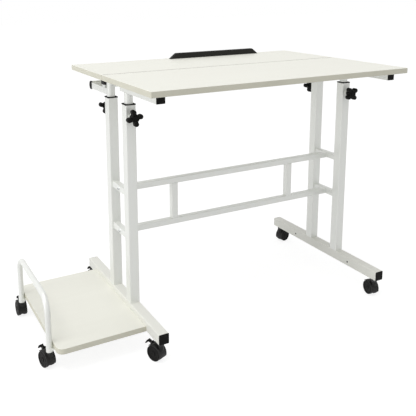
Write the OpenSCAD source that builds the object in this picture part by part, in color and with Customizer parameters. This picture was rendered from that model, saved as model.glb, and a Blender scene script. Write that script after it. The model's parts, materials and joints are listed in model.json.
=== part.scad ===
// Mobile standing desk: two boards on telescopic columns, the rear board tilting
// about a cross tube, a steel base with a side shelf, and six twin-wheel casters.
// Millimetres. X runs along the table, the front is -Y, and the casters stand on
// z = 0. Modules work from the table's centre; desk() moves them so that the
// origin is the centre of the whole footprint.

/* [Table top] */
// Width of both boards
table_w = 850; // [800:1:1100]
// Depth of the front board
front_board_d = 330; // [300:1:400]
// Depth of the rear, tilting board
rear_board_d = 268; // [240:1:340]
// Thickness of the boards
board_t = 16; // [14:1:22]
// Gap between the two boards
board_seam = 2; // [1:0.5:4]
// Radius of the boards' upright corners
board_corner_r = 2; // [1:0.5:10]

/* [Edge stop] */
// Length of the stop bar at its foot
stop_l = 361; // [200:1:500]
// Height of the stop bar
stop_h = 19; // [10:1:30]
// Depth of the stop bar
stop_d = 14; // [8:1:20]
// How much each end leans in over the height
stop_taper = 24; // [0:1:40]
// Distance of the bar's middle from the table's middle
stop_offset = 98; // [-120:1:120]
// Distance from the rear edge to the bar
stop_inset = 17; // [5:1:40]

/* [Base frame] */
// Distance between the centres of the left and right legs
leg_track = 772; // [720:1:790]
// Distance between the centres of a side's two legs
leg_spacing = 129.5; // [110:0.5:160]
// Middle between a side's two legs, along Y
leg_mid_y = -6.25; // [-20:0.25:10]
// Side of the square leg and foot tubes
leg_side = 30; // [30:1:34]
// Wall of the leg and foot tubes
leg_wall = 1.5; // [1.2:0.1:2]
// Outer corner radius of the leg and foot tubes
leg_corner_r = 2.5; // [2:0.1:4]
// Height of the top of the leg tubes
leg_top_z = 678; // [600:1:680]
// Length of a foot with its end caps
foot_l = 541.5; // [480:0.5:570]
// Middle of the feet, along Y
foot_mid_y = -3.75; // [-10:0.25:10]
// Visible thickness of the end caps on the feet and rails
cap_t = 1; // [0.5:0.5:4]
// Width of the bars between the legs
bar_w = 20; // [16:1:24]
// Height of the bars between the legs
bar_h = 18; // [14:1:24]
// Height of the lower pair of bars
lower_bar_z = 288; // [200:1:330]
// Height of the upper pair of bars
upper_bar_z = 418; // [380:1:520]
// Distance of each upright from the middle of the stretchers
upright_x = 216; // [100:1:300]
// Width of the uprights
upright_w = 20; // [14:1:24]
// Wall of the bars, rails and arms
bar_wall = 1.5; // [1.2:0.1:2]
// Spacing of the two accessory holes in the right foot
foot_hole_pitch = 276; // [150:1:320]
// Height of the accessory holes above the foot's underside
foot_hole_up = 14; // [10:1:18]
// Diameter of the accessory holes
foot_hole_d = 7; // [5:0.5:8]

/* [Columns] */
// Outside diameter of the sliding posts
post_d = 24; // [20:0.5:24]
// Wall of the sliding posts
post_wall = 1.5; // [1.2:0.1:2]
// Thickness of the collar on top of a leg
collar_t = 3; // [2:0.5:5]
// Depth of the collar's skirt inside the leg
collar_skirt = 20; // [10:1:24]
// Height of the boards' underside above the collars, as drawn
board_rise = 53; // [48:1:90]
// How far the front board can be lowered from the height drawn
front_drop = 30; // [10:1:40]
// How far the rear board can be lowered from the height drawn
rear_drop = 3; // [1:1:20]
// Height of the glide under a post
glide_h = 12; // [8:1:30]
// Width of the front rails
rail_w = 25; // [20:1:30]
// Height of the front rails
rail_h = 22; // [18:1:25]
// Distance from the front edge to the rails
rail_inset = 27; // [10:1:60]
// How far a rail runs on behind its post's centre
rail_tail = 31; // [15:1:60]

/* [Tilt mechanism] */
// Side of the square arms behind the rear posts
arm_side = 20; // [16:1:24]
// Outside diameter of the cross tube that the rear board tilts on
tilt_tube_d = 25; // [20:1:28]
// How far the cross tube runs past the middle of each arm
tube_over = 7; // [0:1:14]
// Distance from the rear edge to the cross tube's axis
tilt_inset = 94; // [80:1:120]
// Distance of each tilt clamp from the table's middle
clamp_x = 270; // [150:1:330]
// Width of a tilt clamp along the tube
clamp_w = 40; // [30:1:60]
// Thickness of plastic round the tube in a tilt clamp
clamp_wall = 8.5; // [8:0.5:12]
// Length of a rest pad
pad_l = 46; // [25:1:60]
// Thickness of a rest pad
pad_t = 6.5; // [3:0.5:10]

/* [Clamp knobs] */
// Diameter over the lobes
knob_d = 48; // [38:1:56]
// Thickness of the grip
knob_t = 16; // [10:1:20]
// Radius of a lobe
lobe_r = 7; // [5:0.5:9]
// Height of the knobs below the collars' top
knob_drop = 35; // [32:1:60]
// Distance from the leg to the middle of the grip
knob_reach = 25; // [22:1:32]
// Diameter of the clamp stud
stud_d = 8; // [6:1:10]
// Diameter of the nut welded to the leg
nut_d = 16; // [14:1:20]
// Height of the nut
nut_h = 6.5; // [5:0.5:9]

/* [Side shelf] */
// Width of the shelf, away from the foot
shelf_w = 250; // [180:1:320]
// Depth of the shelf, along the foot
shelf_d = 400; // [340:1:440]
// Thickness of the shelf
shelf_t = 16; // [12:1:22]
// Middle of the shelf, along Y
shelf_mid_y = 6; // [-10:1:15]
// Radius of the shelf's two outer corners
shelf_corner_r = 20; // [5:1:40]
// Diameter of the guard tube
guard_d = 16; // [14:1:20]
// Wall of the guard tube
guard_wall = 1.5; // [1:0.1:2]
// Distance between the guard's legs
guard_span = 298; // [240:1:320]
// Height of the sleeve at the foot of each guard leg
sleeve_h = 20; // [12:1:30]
// Thickness of that sleeve
sleeve_t = 1; // [0.5:0.5:2]
// Height of the guard's top, at the middle of its tube
guard_top_z = 198; // [150:1:300]
// Bend radius of the guard, at the middle of its tube
guard_bend_r = 45; // [30:1:70]

/* [Casters] */
// Wheel diameter
wheel_d = 45; // [40:1:46]
// Width of one wheel
wheel_w = 11; // [9:0.5:14]
// Gap between a caster's two wheels
wheel_gap = 7; // [7:0.5:12]
// Radius of the wheels' rounded edges
wheel_round = 2; // [1:0.25:3]
// Distance of the axle behind the stem
caster_trail = 17; // [16:0.5:20]
// Height of a caster up to the end of its housing
caster_h = 50; // [49:0.5:56]
// Height of the spacer between a caster and its foot
spacer_h = 11; // [6:0.5:20]
// Distance of a caster's stem from the end of its foot
caster_inset = 20; // [16:1:60]
// Diameter of the stem's thread
stem_d = 8; // [7:0.5:9]
// Direction in which the front left caster trails
turn_front_left = 113; // [0:1:360]
// Direction in which the rear left caster trails
turn_rear_left = 98; // [0:1:360]
// Direction in which the front right caster trails
turn_front_right = 80; // [0:1:360]
// Direction in which the rear right caster trails
turn_rear_right = 12; // [0:1:360]
// Direction in which the shelf's front caster trails
turn_shelf_front = 104; // [0:1:360]
// Direction in which the shelf's rear caster trails
turn_shelf_rear = 89; // [0:1:360]

/* [Fits] */
// Gap between faces that slide past or stand close to each other
slide_gap = 0.3; // [0.2:0.05:0.5]
// Radial gap of a shaft in its bore
running_gap = 0.05; // [0.02:0.01:0.1]
// Gap left in a welded joint
weld_gap = 0.1; // [0.05:0.05:0.3]

/* [Hidden] */
$fn = 64;

LEFT = -1;
RIGHT = 1;
FRONT = -1;
REAR = 1;
SIDES = [LEFT, RIGHT];
ENDS = [FRONT, REAR];

white_steel = "#e8eae4";
board_white = "#eeeee6";
black_plastic = "#1e1e1c";
zinc_steel = "#b9bbbd";

// Table
table_d = front_board_d + board_seam + rear_board_d;
front_y = -table_d / 2;
rear_y = table_d / 2;

// Base
leg_x = leg_track / 2;
foot_z = caster_h + spacer_h;
foot_top = foot_z + leg_side;
foot_front = foot_mid_y - foot_l / 2;
foot_outer_x = -leg_x - leg_side / 2;
collar_top = leg_top_z + collar_t;
leg_bore = leg_side - 2 * leg_wall;
stretcher_end = leg_x - bar_w / 2;
bolt_r = 3;
bolt_head_r = 5;
bolt_head_h = 3.5;
bolt_key_r = 2;
bolt_key_depth = 2;
bolt_depth = 14;
plug_l = 16;
screw_r = 2;
screw_head_r = 4;
screw_head_h = 2.4;
screw_neck_r = 2.8;
screw_bite = 11;
foot_hole_z = foot_z + foot_hole_up;
foot_nut_h = 8;
foot_nut_r = 7;

// Columns
board_z = collar_top + board_rise;
top_z = board_z + board_t;
post_r = post_d / 2;
post_bore_r = post_r - post_wall;
stop_gap = 0.5;
plug_depth = 12;
post_clear = 4;
post_cap_t = 2;
collar_over = 0.8;
rail_screw_front = 45;
rail_screw_rear = 18;
tongue_l = 8;
rail_z = board_z - rail_h;
front_post_z = foot_top + front_drop + glide_h + post_clear;
rear_post_z = foot_top + rear_drop + glide_h + post_clear;
rail_front = front_y + rail_inset;
rail_rear = leg_y(FRONT) + rail_tail;
rail_screws = [rail_front + rail_screw_front, rail_rear - rail_screw_rear];

// Tilt mechanism
arm_z = collar_top + rear_drop + stop_gap + arm_side / 2;
tilt_y = rear_y - tilt_inset;
tilt_tube_l = leg_track + 2 * tube_over;
tilt_r = tilt_tube_d / 2;
arm_front = leg_y(REAR);
rest_z = board_z - slide_gap - pad_t;
pad_over = 2.5;
pad_w = arm_side + 2 * pad_over;
pad_front = leg_y(REAR) + post_r + stop_gap;
rear_post_top = rest_z;
clamp_out = tilt_r + clamp_wall;
clamp_screw_y = tilt_r + clamp_wall / 2;
flange_reach = 16;
flange_l = 2 * (clamp_out + flange_reach);
flange_t = 4;
flange_screw_y = clamp_out + flange_reach / 2;
clamp_split = 0.6;
strap_h = 9;
strap_wall = 5.5;

// Knobs
stud_r = stud_d / 2;
knob_z = collar_top - knob_drop;
nut_r = nut_d / 2;
stud_tip = leg_side / 2 - post_r - slide_gap;
knob_turns = [[12, 15], [38, 0]];
neck_r = 8;
boss_top_r = 7;
knob_boss_r = 9;
knob_boss_h = 1.5;
lobe_neck = 2;
core_in = 5;

// Shelf
shelf_z = foot_z;
shelf_edge_x = foot_outer_x - shelf_w;
guard_r = guard_d / 2;
sleeve_r = guard_r + sleeve_t;
guard_x = shelf_edge_x - sleeve_r - slide_gap;
guard_z = caster_h;
lug_l = 34;
lug_w = 28;
lug_t = 3;
lug_screw_in = 10;
lug_screw_step = 14;
lug_screws = [for (i = [0, 1]) guard_x + guard_r + lug_screw_in + i * lug_screw_step];

// Casters
wheel_r = wheel_d / 2;
wheelset_half = wheel_gap / 2 + wheel_w;
axle_r = 3;
axle_in = 2;
axle_l = 2 * (wheelset_half - axle_in);
hub_r = 6;
dish_w = 10;
dish_depth = 1.2;
web_side = 0.8;
web_t = wheel_gap - 2 * web_side;
stem_r = stem_d / 2;
swivel_r = 3.5;
hood_gap = 1;
hood_t = 1.8;
hood_in = 1;
hood_w = 2 * (wheelset_half - hood_in);
hood_r = wheel_r + hood_gap + hood_t;
hood_start = 50;
hood_end = 200;
web_inset = 2;
web_short = 1.5;
web_nose = 6.5;
nose_up = 3;
nose_down = 1;
boss_r = 8.5;
boss_l = 14;
boss_z = caster_h - slide_gap - boss_l;
pin_l = 11;
spacer_r = 9;
hinge_up = 1.7;
hinge_at = 58;
lever_u = caster_trail + (hood_r + hinge_up) * cos(hinge_at);
lever_z = wheel_r + (hood_r + hinge_up) * sin(hinge_at);
lever_pin_r = 1.5;
lever_hub_r = 2.8;
lever_ear_r = 3.4;
lever_ear_w = 10.4;
lever_slot = 5.2;
lever_room = 1;
lever_l = 13.5;
lever_neck = 5;
lever_neck_in = 0.3;
lever_w = 9;
lever_t = 3;
lever_tilt = 8;
pedal_w = 13;
pedal_l = 10;
pedal_fold = 63;
pedal_lip_r = 1.8;
pedal_lip_in = 0.5;
FOOT_CASTERS = [
    [LEFT, FRONT, turn_front_left], [LEFT, REAR, turn_rear_left],
    [RIGHT, FRONT, turn_front_right], [RIGHT, REAR, turn_rear_right]
];
SHELF_CASTERS = [[FRONT, turn_shelf_front], [REAR, turn_shelf_rear]];

// Origin: the middle between the outermost points to the left and right
footprint_left = min([for (c = SHELF_CASTERS) guard_x - caster_reach(c[1], LEFT)]);
footprint_right = max(table_w / 2,
    max([for (c = FOOT_CASTERS) c[0] * leg_x + caster_reach(c[2], RIGHT)]));
desk_x = -(footprint_left + footprint_right) / 2;

function leg_y(end) = leg_mid_y + end * leg_spacing / 2;
function foot_bolt_y(end) = leg_mid_y + end * foot_hole_pitch / 2;
function foot_caster_y(end) = foot_mid_y + end * (foot_l / 2 - caster_inset);
function guard_y(end) = shelf_mid_y + end * guard_span / 2;

// How far a caster's wheels reach from its stem along X, to the given side
function caster_reach(turn, side) =
    side * caster_trail * cos(turn)
    + (wheel_r - wheel_round) * abs(cos(turn))
    + (wheelset_half - wheel_round) * abs(sin(turn)) + wheel_round;

echo(desk_x = desk_x, tilt_y = tilt_y, arm_z = arm_z, knob_z = knob_z);

// Placing and profiles

module desk() translate([desk_x, 0, 0]) children();

module flip_x(on) mirror([on ? 1 : 0, 0, 0]) children();

module flip_y(on) mirror([0, on ? 1 : 0, 0]) children();

// Extrudes a profile drawn in Y and Z along X
module along_x(length) rotate([90, 0, 90]) linear_extrude(length) children();

// Extrudes a profile drawn in X and Z along Y
module along_y(length)
    translate([0, length, 0]) rotate([90, 0, 0]) linear_extrude(length) children();

module rounded_rect(w, h, r) {
    square([w - 2 * r, h], center = true);
    square([w, h - 2 * r], center = true);
    for (x = [-1, 1], y = [-1, 1])
        translate([x * (w / 2 - r), y * (h / 2 - r)]) circle(r);
}

module tube_profile(w, h, wall, r) {
    difference() {
        rounded_rect(w, h, r);
        rounded_rect(w - 2 * wall, h - 2 * wall, max(r - wall, 0.5));
    }
}

module ring_profile(outer_r, wall) {
    difference() {
        circle(outer_r);
        circle(outer_r - wall);
    }
}

module bar_profile(w, h) tube_profile(w, h, bar_wall, 2);

// A plain shaft along X, centred on the place it is put
module shaft_x(r, length) rotate([0, 90, 0]) cylinder(h = length, r = r, center = true);

// Base frame

module leg(side, end) {
    desk() translate([side * leg_x, leg_y(end), foot_top]) color(white_steel)
        difference() {
            linear_extrude(leg_top_z - foot_top)
                tube_profile(leg_side, leg_side, leg_wall, leg_corner_r);
            translate([0, end * leg_side / 2, knob_z - foot_top]) rotate([90, 0, 0])
                cylinder(h = 3 * leg_wall, r = stud_r + slide_gap, center = true);
        }
}

// Tube of one foot, with a welded nut over each caster hole
module foot_tube(side) {
    inner_l = foot_l - 2 * cap_t;
    translate([side * leg_x, foot_front + cap_t, foot_z + leg_side / 2])
        difference() {
            union() {
                along_y(inner_l)
                    tube_profile(leg_side, leg_side, leg_wall, leg_corner_r);
                for (end = ENDS)
                    translate([0, foot_caster_y(end) - foot_front - cap_t, leg_wall - leg_side / 2])
                        cylinder(h = foot_nut_h, r = foot_nut_r);
            }
            for (end = ENDS)
                translate([0, foot_caster_y(end) - foot_front - cap_t, -leg_side / 2 - 1])
                    cylinder(h = leg_wall + foot_nut_h + 2, r = stem_r + running_gap);
        }
}

// Bores across a foot, one pitch apart about the middle of its legs
module foot_bores(side, z, r) {
    for (end = ENDS)
        translate([side * leg_x, foot_bolt_y(end), z]) shaft_x(r, leg_side + 2);
}

module foot_left() {
    desk() color(white_steel) difference() {
        foot_tube(LEFT);
        foot_bores(LEFT, shelf_z + shelf_t / 2, bolt_r + slide_gap);
    }
}

module foot_right() {
    desk() color(white_steel) difference() {
        foot_tube(RIGHT);
        foot_bores(RIGHT, foot_hole_z, foot_hole_d / 2);
    }
}

// End cap of a rectangular tube: a plate and a tongue, pushed in towards +Y
module tube_cap(w, h, wall, r) {
    along_y(cap_t) rounded_rect(w, h, r);
    along_y(cap_t + tongue_l)
        rounded_rect(w - 2 * wall - 2 * slide_gap, h - 2 * wall - 2 * slide_gap, 1);
}

module foot_caps() {
    desk() color(black_plastic)
        for (side = SIDES, end = ENDS)
            translate([side * leg_x, foot_mid_y, foot_z + leg_side / 2])
                flip_y(end == REAR) translate([0, -foot_l / 2, 0])
                    tube_cap(leg_side, leg_side, leg_wall, leg_corner_r);
}

// Bush on top of each leg: a square flange and skirt with the post's bore
module leg_collars() {
    flange = leg_side + 2 * collar_over;
    skirt = leg_bore - 2 * weld_gap;
    desk() color(black_plastic)
        for (side = SIDES, end = ENDS)
            translate([side * leg_x, leg_y(end), leg_top_z]) difference() {
                union() {
                    linear_extrude(collar_t) rounded_rect(flange, flange, 3);
                    translate([0, 0, -collar_skirt])
                        linear_extrude(collar_skirt) rounded_rect(skirt, skirt, 1.5);
                }
                translate([0, 0, -collar_skirt - 1])
                    cylinder(h = collar_skirt + collar_t + 2, r = post_r + running_gap);
            }
}

module crossbars() {
    inner = leg_spacing - leg_side;
    desk() color(white_steel)
        for (side = SIDES, z = [lower_bar_z, upper_bar_z])
            difference() {
                translate([side * leg_x, leg_mid_y - inner / 2, z])
                    along_y(inner) bar_profile(bar_w, bar_h);
                translate([side * leg_x, leg_mid_y, z])
                    shaft_x(bolt_r + slide_gap, bar_w + 2);
            }
}

// Bar from side to side, plugged at both ends for its bolts
module stretcher(z) {
    desk() color(white_steel) translate([0, leg_mid_y, z]) difference() {
        union() {
            translate([-stretcher_end, 0, 0])
                along_x(2 * stretcher_end) bar_profile(bar_w, bar_h);
            for (side = SIDES)
                translate([side * (stretcher_end - plug_l / 2) - plug_l / 2, 0, 0])
                    along_x(plug_l) rounded_rect(bar_w - bar_wall, bar_h - bar_wall, 1);
        }
        for (side = SIDES)
            translate([side * stretcher_end, 0, 0])
                shaft_x(bolt_r + running_gap, 2 * plug_l + 2);
    }
}

module stretcher_uprights() {
    clear_h = upper_bar_z - lower_bar_z - bar_h;
    desk() color(white_steel)
        for (side = SIDES)
            translate([side * upright_x, leg_mid_y, lower_bar_z + bar_h / 2])
                linear_extrude(clear_h) bar_profile(upright_w, bar_w);
}

// Button-head bolt that lies along +X, its head's inner face at the origin
module bolt_x(length) {
    rotate([0, 90, 0]) cylinder(h = length, r = bolt_r);
    rotate([0, -90, 0]) difference() {
        cylinder(h = bolt_head_h, r1 = bolt_head_r, r2 = bolt_head_r - 1.5);
        translate([0, 0, bolt_head_h - bolt_key_depth])
            cylinder(h = bolt_head_h, r = bolt_key_r, $fn = 6);
    }
}

// Wood screw that stands along +Z, its head's inner face at the origin
module screw_z(grip) {
    cylinder(h = grip + screw_bite, r = screw_r);
    translate([0, 0, -screw_head_h])
        cylinder(h = screw_head_h, r1 = screw_neck_r, r2 = screw_head_r);
}

module frame_fasteners() {
    desk() color(zinc_steel) {
        for (side = SIDES, z = [lower_bar_z, upper_bar_z])
            translate([side * (leg_x + bar_w / 2), leg_mid_y, z])
                flip_x(side == RIGHT) bolt_x(bar_w + bolt_depth);
        for (end = ENDS)
            translate([-leg_x + leg_side / 2, foot_bolt_y(end), shelf_z + shelf_t / 2])
                flip_x(true) bolt_x(leg_side + bolt_depth);
        for (end = ENDS, at = lug_screws)
            translate([at, guard_y(end), shelf_z - lug_t]) screw_z(lug_t);
    }
}

module clamp_nuts() {
    desk() color(white_steel)
        for (side = SIDES, end = ENDS)
            translate([side * leg_x, leg_y(end) + end * leg_side / 2, knob_z])
                rotate([-90 * end, 0, 0]) difference() {
                    cylinder(h = nut_h, r = nut_r);
                    translate([0, 0, -1]) cylinder(h = nut_h + 2, r = stud_r + running_gap);
                }
}

// Side shelf and its guard

module shelf_outline() {
    r = shelf_corner_r;
    translate([shelf_edge_x, shelf_mid_y - shelf_d / 2]) {
        translate([r, 0]) square([shelf_w - r, shelf_d]);
        translate([0, r]) square([2 * r, shelf_d - 2 * r]);
        for (y = [r, shelf_d - r]) translate([r, y]) circle(r);
    }
}

module side_shelf() {
    desk() color(board_white) difference() {
        translate([0, 0, shelf_z]) linear_extrude(shelf_t) shelf_outline();
        for (end = ENDS) {
            translate([foot_outer_x, foot_bolt_y(end), shelf_z + shelf_t / 2])
                shaft_x(bolt_r + running_gap, 2 * bolt_depth + 2);
            for (at = lug_screws)
                translate([at, guard_y(end), shelf_z - 1])
                    cylinder(h = screw_bite + 2, r = screw_r + running_gap);
        }
    }
}

module guard_ring() ring_profile(guard_r, guard_wall);

module guard_lug(end) {
    length = guard_r + lug_l;
    difference() {
        translate([guard_x, guard_y(end) - lug_w / 2, shelf_z - lug_t])
            cube([length, lug_w, lug_t]);
        translate([guard_x, guard_y(end), shelf_z - lug_t - 1])
            cylinder(h = lug_t + 2, r = guard_r - guard_wall / 2);
        for (at = lug_screws)
            translate([at, guard_y(end), shelf_z - lug_t - 1])
                cylinder(h = lug_t + 2, r = screw_r + slide_gap);
    }
}

// Bent tube over the shelf's outer edge. Each leg has a sleeve round its foot, a lug
// that carries the shelf and a threaded plug for its caster.
module shelf_guard() {
    leg_h = guard_top_z - guard_bend_r - guard_z;
    top_l = guard_span - 2 * guard_bend_r;
    desk() color(white_steel) {
        translate([guard_x, shelf_mid_y - top_l / 2, guard_top_z])
            along_y(top_l) guard_ring();
        for (end = ENDS) {
            translate([guard_x, guard_y(end), guard_z]) {
                linear_extrude(leg_h) guard_ring();
                linear_extrude(sleeve_h) ring_profile(sleeve_r, sleeve_t + guard_wall / 2);
                linear_extrude(plug_l)
                    ring_profile(guard_r - guard_wall / 2,
                        guard_r - guard_wall / 2 - stem_r - running_gap);
            }
            translate([guard_x, shelf_mid_y + end * top_l / 2, guard_top_z - guard_bend_r])
                flip_y(end == FRONT) rotate([90, 0, 90])
                    rotate_extrude(angle = 90) translate([guard_bend_r, 0]) guard_ring();
            guard_lug(end);
        }
    }
}

// Front board on its posts and rails

module front_post(side) {
    desk() color(white_steel) translate([side * leg_x, leg_y(FRONT), front_post_z])
        linear_extrude(rail_z - front_post_z) ring_profile(post_r, post_wall);
}

module front_rail(side) {
    desk() color(white_steel) difference() {
        translate([side * leg_x, rail_front + cap_t, rail_z + rail_h / 2])
            along_y(rail_rear - rail_front - 2 * cap_t) bar_profile(rail_w, rail_h);
        for (y = rail_screws) {
            translate([side * leg_x, y, rail_z - 1])
                cylinder(h = rail_h + 2, r = screw_r + slide_gap);
            translate([side * leg_x, y, rail_z - 1])
                cylinder(h = bar_wall + 2, r = screw_head_r + slide_gap);
        }
    }
}

module front_rail_caps() {
    middle = (rail_front + rail_rear) / 2;
    reach = (rail_rear - rail_front) / 2;
    desk() color(black_plastic)
        for (side = SIDES, end = ENDS)
            translate([side * leg_x, middle, rail_z + rail_h / 2])
                flip_y(end == REAR) translate([0, -reach, 0])
                    tube_cap(rail_w, rail_h, bar_wall, 2);
}

// Plastic foot of a post: a square block that slides in the leg and a spigot
module post_glide() {
    side = leg_bore - 2 * slide_gap;
    translate([0, 0, -glide_h]) linear_extrude(glide_h) rounded_rect(side, side, 1.5);
    cylinder(h = plug_depth, r = post_bore_r - weld_gap);
}

module front_post_glides() {
    desk() color(black_plastic)
        for (side = SIDES)
            translate([side * leg_x, leg_y(FRONT), front_post_z]) post_glide();
}

module board(y, depth) {
    translate([0, y + depth / 2, board_z])
        linear_extrude(board_t) rounded_rect(table_w, depth, board_corner_r);
}

module front_board() {
    desk() color(board_white) difference() {
        board(front_y, front_board_d);
        for (side = SIDES, y = rail_screws)
            translate([side * leg_x, y, board_z - 1])
                cylinder(h = screw_bite + 2, r = screw_r + running_gap);
    }
}

module front_board_screws() {
    desk() color(zinc_steel)
        for (side = SIDES, y = rail_screws)
            translate([side * leg_x, y, rail_z + rail_h - bar_wall]) screw_z(bar_wall);
}

// Rear posts, arms and the cross tube

module rear_post(side) {
    desk() color(white_steel) translate([side * leg_x, leg_y(REAR), rear_post_z])
        linear_extrude(rear_post_top - rear_post_z) ring_profile(post_r, post_wall);
}

// Arm from the back of the post to the cross tube, coped to both, with the
// upstand that carries the rest pad
module rear_arm(side) {
    desk() color(white_steel) translate([side * leg_x, 0, arm_z]) difference() {
        union() {
            translate([0, arm_front, 0])
                along_y(tilt_y - arm_front) bar_profile(arm_side, arm_side);
            translate([0, pad_front + pad_l / 2, arm_side / 2])
                linear_extrude(rest_z - arm_z - arm_side / 2)
                    bar_profile(arm_side, arm_side);
        }
        translate([0, leg_y(REAR), -arm_side])
            cylinder(h = 2 * arm_side, r = post_r + weld_gap);
        translate([0, tilt_y, 0]) shaft_x(tilt_r + weld_gap, 2 * arm_side);
    }
}

module rear_post_glides() {
    desk() color(black_plastic)
        for (side = SIDES)
            translate([side * leg_x, leg_y(REAR), rear_post_z]) post_glide();
}

module rear_post_caps() {
    desk() color(black_plastic)
        for (side = SIDES)
            translate([side * leg_x, leg_y(REAR), rear_post_top]) {
                cylinder(h = post_cap_t, r = post_r);
                translate([0, 0, -plug_depth])
                    cylinder(h = plug_depth, r = post_bore_r - weld_gap);
            }
}

module rest_pads() {
    desk() color(black_plastic)
        for (side = SIDES)
            translate([side * leg_x, pad_front + pad_l / 2, rest_z])
                linear_extrude(pad_t) rounded_rect(pad_w, pad_l, 3);
}

module tilt_tube() {
    length = tilt_tube_l - 2 * cap_t;
    desk() color(white_steel) translate([-length / 2, tilt_y, arm_z])
        along_x(length) ring_profile(tilt_r, post_wall);
}

module tilt_tube_caps() {
    desk() color(black_plastic)
        for (side = SIDES)
            translate([side * (tilt_tube_l / 2 - cap_t), tilt_y, arm_z])
                rotate([0, 90 * side, 0]) {
                    cylinder(h = cap_t, r = tilt_r);
                    translate([0, 0, -plug_depth])
                        cylinder(h = plug_depth, r = tilt_r - post_wall - weld_gap);
                }
}

// Rear board, its stop and the clamps round the cross tube

module rear_board() {
    desk() color(board_white) difference() {
        board(rear_y - rear_board_d, rear_board_d);
        for (side = SIDES, end = ENDS, x = [-1, 1])
            translate([side * clamp_x + x * clamp_w / 4, tilt_y + end * flange_screw_y, board_z - 1])
                cylinder(h = screw_bite + 2, r = screw_r + running_gap);
    }
}

// Bar with leaning ends and rounded top edges
module edge_stop() {
    edge_r = 3;
    desk() color(black_plastic)
        translate([stop_offset, rear_y - stop_inset - stop_d, top_z])
            intersection() {
                along_y(stop_d) polygon([
                    [-stop_l / 2, 0], [stop_l / 2, 0],
                    [stop_l / 2 - stop_taper, stop_h], [stop_taper - stop_l / 2, stop_h]
                ]);
                translate([-stop_l / 2, 0, 0]) along_x(stop_l) {
                    square([stop_d, stop_h - edge_r]);
                    translate([edge_r, 0]) square([stop_d - 2 * edge_r, stop_h]);
                    for (y = [edge_r, stop_d - edge_r])
                        translate([y, stop_h - edge_r]) circle(edge_r);
                }
            }
}

// Upper half of a tilt clamp, screwed to the board, over the cross tube
module tilt_saddle() {
    difference() {
        translate([-clamp_w / 2, 0, 0]) along_x(clamp_w) {
            translate([-clamp_out, 0]) square([2 * clamp_out, board_z - arm_z]);
            translate([-flange_l / 2, board_z - arm_z - flange_t])
                square([flange_l, flange_t]);
        }
        shaft_x(tilt_r + running_gap, clamp_w + 2);
        for (end = ENDS, x = [-1, 1]) {
            translate([x * clamp_w / 4, end * clamp_screw_y, -1])
                cylinder(h = screw_bite + 3, r = screw_r + running_gap);
            translate([x * clamp_w / 4, end * flange_screw_y, board_z - arm_z - flange_t - 1])
                cylinder(h = flange_t + 2, r = screw_r + slide_gap);
        }
    }
}

// Lower half, drawn up by four screws in counterbores
module tilt_strap() {
    difference() {
        translate([-clamp_w / 2, 0, 0]) along_x(clamp_w) difference() {
            union() {
                circle(tilt_r + strap_wall);
                translate([-clamp_out, -strap_h]) square([2 * clamp_out, strap_h]);
            }
            translate([-clamp_out - 1, -clamp_split])
                square([2 * clamp_out + 2, 2 * clamp_out]);
        }
        shaft_x(tilt_r + running_gap, clamp_w + 2);
        for (end = ENDS, x = [-1, 1])
            translate([x * clamp_w / 4, end * clamp_screw_y, -strap_h]) {
                cylinder(h = strap_h + 1, r = screw_r + slide_gap);
                translate([0, 0, -clamp_out]) cylinder(h = clamp_out, r = screw_head_r + slide_gap);
            }
    }
}

module each_clamp()
    for (side = SIDES) translate([side * clamp_x, tilt_y, arm_z]) children();

module tilt_saddles() desk() color(black_plastic) each_clamp() tilt_saddle();

module tilt_straps() desk() color(black_plastic) each_clamp() tilt_strap();

module tilt_screws() {
    desk() color(zinc_steel) each_clamp()
        for (end = ENDS, x = [-1, 1]) {
            translate([x * clamp_w / 4, end * clamp_screw_y, -strap_h])
                screw_z(strap_h - 1);
            translate([x * clamp_w / 4, end * flange_screw_y, board_z - arm_z - flange_t])
                screw_z(flange_t - 1);
        }
}

// Clamp knobs

module star_profile() {
    circle(knob_d / 2 - lobe_r - core_in);
    for (a = [0 : 90 : 270]) rotate(a) {
        translate([0, lobe_neck - lobe_r])
            square([knob_d / 2 - lobe_r, 2 * (lobe_r - lobe_neck)]);
        translate([knob_d / 2 - lobe_r, 0]) circle(lobe_r);
    }
}

// Star grip, neck and stud; the stud's tip stops just short of the post
module clamp_knob(side, end) {
    grip_z = knob_reach - knob_t / 2;
    turn = knob_turns[side == LEFT ? 0 : 1][end == FRONT ? 0 : 1];
    desk() translate([side * leg_x, leg_y(end) + end * leg_side / 2, knob_z])
        rotate([-90 * end, 0, 0]) {
            color(black_plastic) {
                translate([0, 0, grip_z]) linear_extrude(knob_t) rotate(turn) star_profile();
                translate([0, 0, nut_h + slide_gap])
                    cylinder(h = grip_z - nut_h - slide_gap, r1 = neck_r - 1, r2 = neck_r);
                translate([0, 0, grip_z + knob_t])
                    cylinder(h = knob_boss_h, r1 = knob_boss_r, r2 = boss_top_r);
            }
            color(zinc_steel) translate([0, 0, -stud_tip])
                cylinder(h = grip_z + stud_tip, r = stud_r);
        }
}

// Casters, drawn with the stem on the Z axis and trailing towards +X

module foot_caster(side, end, turn)
    desk() translate([side * leg_x, foot_caster_y(end), 0]) rotate(turn) children();

module shelf_caster(end, turn)
    desk() translate([guard_x, guard_y(end), 0]) rotate(turn) children();

// Thread, washer face and swivel pin of one stem
module caster_stem(spacer, thread) {
    translate([0, 0, caster_h - pin_l]) cylinder(h = pin_l, r = swivel_r);
    if (spacer > 0) translate([0, 0, caster_h]) cylinder(h = spacer, r = spacer_r);
    translate([0, 0, caster_h]) cylinder(h = spacer + thread, r = stem_r);
}

module caster_stems() {
    desk() color(zinc_steel) {
        for (c = FOOT_CASTERS)
            translate([c[0] * leg_x, foot_caster_y(c[1]), 0]) caster_stem(spacer_h, leg_wall + foot_nut_h);
        for (c = SHELF_CASTERS)
            translate([guard_x, guard_y(c[0]), 0]) caster_stem(0, plug_l - 1);
    }
}

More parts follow.
